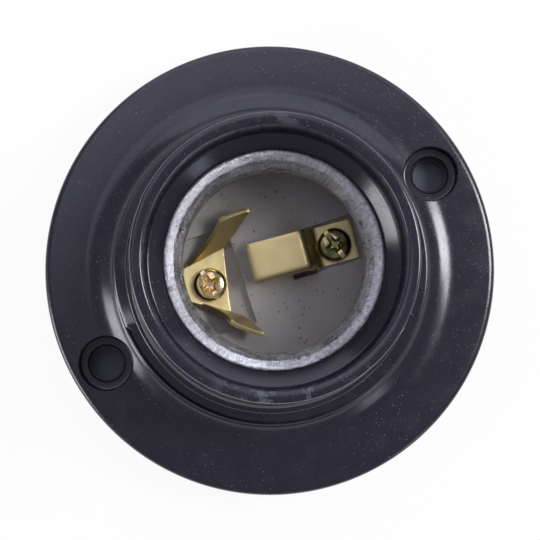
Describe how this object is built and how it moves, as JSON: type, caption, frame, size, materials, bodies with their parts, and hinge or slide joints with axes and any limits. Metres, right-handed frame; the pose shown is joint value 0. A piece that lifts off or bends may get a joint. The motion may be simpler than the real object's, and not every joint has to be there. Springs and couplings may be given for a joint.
{
  "type": "wall lamp holder",
  "caption": "Round wall lamp holder with a flanged base, a screwed barrel, a threaded metal shell and spring contacts on a ceramic insert.",
  "frame": {"origin": "centre of the flange's back face, on the wall plane", "axes": "+Z along the lamp axis, away from the wall; +X from the lamp axis through one fixing hole"},
  "size_m": [0.0654, 0.0654, 0.0603],
  "materials": {
    "phenolic": "moulded black phenolic, satin flange, glossier barrel",
    "plated_steel": "dull zinc plate with drawing marks",
    "fired_clay": "unglazed light grey ceramic with dark specks",
    "sheet_brass": "pale rolled brass",
    "yellow_zinc": "yellow passivated zinc"
  },
  "bodies": {
    "root": {"base": "phenolic", "ceramic_insert": "fired_clay", "centre_contact": "sheet_brass", "side_contact": "sheet_brass", "centre_contact_screw": "yellow_zinc", "side_contact_screw": "yellow_zinc", "centre_terminal": "sheet_brass", "side_terminal": "sheet_brass"},
    "shell": {"screw_shell": "plated_steel"},
    "barrel": {"barrel": "phenolic"},
    "centre_clamp": {"centre_clamp_washer": "plated_steel"},
    "centre_clamp_screw": {"centre_terminal_screw": "yellow_zinc"},
    "side_clamp": {"side_clamp_washer": "plated_steel"},
    "side_clamp_screw": {"side_terminal_screw": "yellow_zinc"}
  },
  "joints": [
    {"name": "barrel_rise", "type": "slide", "parent": "root", "child": "shell", "axis": [0, 0, 1], "range_m": [0, 0.0078]},
    {"name": "barrel_turn", "type": "hinge", "parent": "shell", "child": "barrel", "pos_m": [0, 0, 0.03], "axis": [0, 0, 1], "range_deg": [0, 930]},
    {"name": "centre_clamp_drop", "type": "slide", "parent": "root", "child": "centre_clamp", "axis": [0, 0, -1], "range_m": [0, 0.0021]},
    {"name": "centre_clamp_turn", "type": "hinge", "parent": "centre_clamp", "child": "centre_clamp_screw", "pos_m": [0.01008, 0.00392, 0.02], "axis": [0, 0, -1], "range_deg": [0, 1262]},
    {"name": "side_clamp_drop", "type": "slide", "parent": "root", "child": "side_clamp", "axis": [0, 0, -1], "range_m": [0, 0.0021]},
    {"name": "side_clamp_turn", "type": "hinge", "parent": "side_clamp", "child": "side_clamp_screw", "pos_m": [-0.01008, -0.00392, 0.02], "axis": [0, 0, -1], "range_deg": [0, 1262]}
  ],
  "couplings": [
    {"joint": "barrel_rise", "follows": "barrel_turn", "m_per_rad": 0.00047746},
    {"joint": "centre_clamp_turn", "follows": "centre_clamp_drop", "rad_per_m": 10472},
    {"joint": "side_clamp_turn", "follows": "side_clamp_drop", "rad_per_m": 10472}
  ]
}
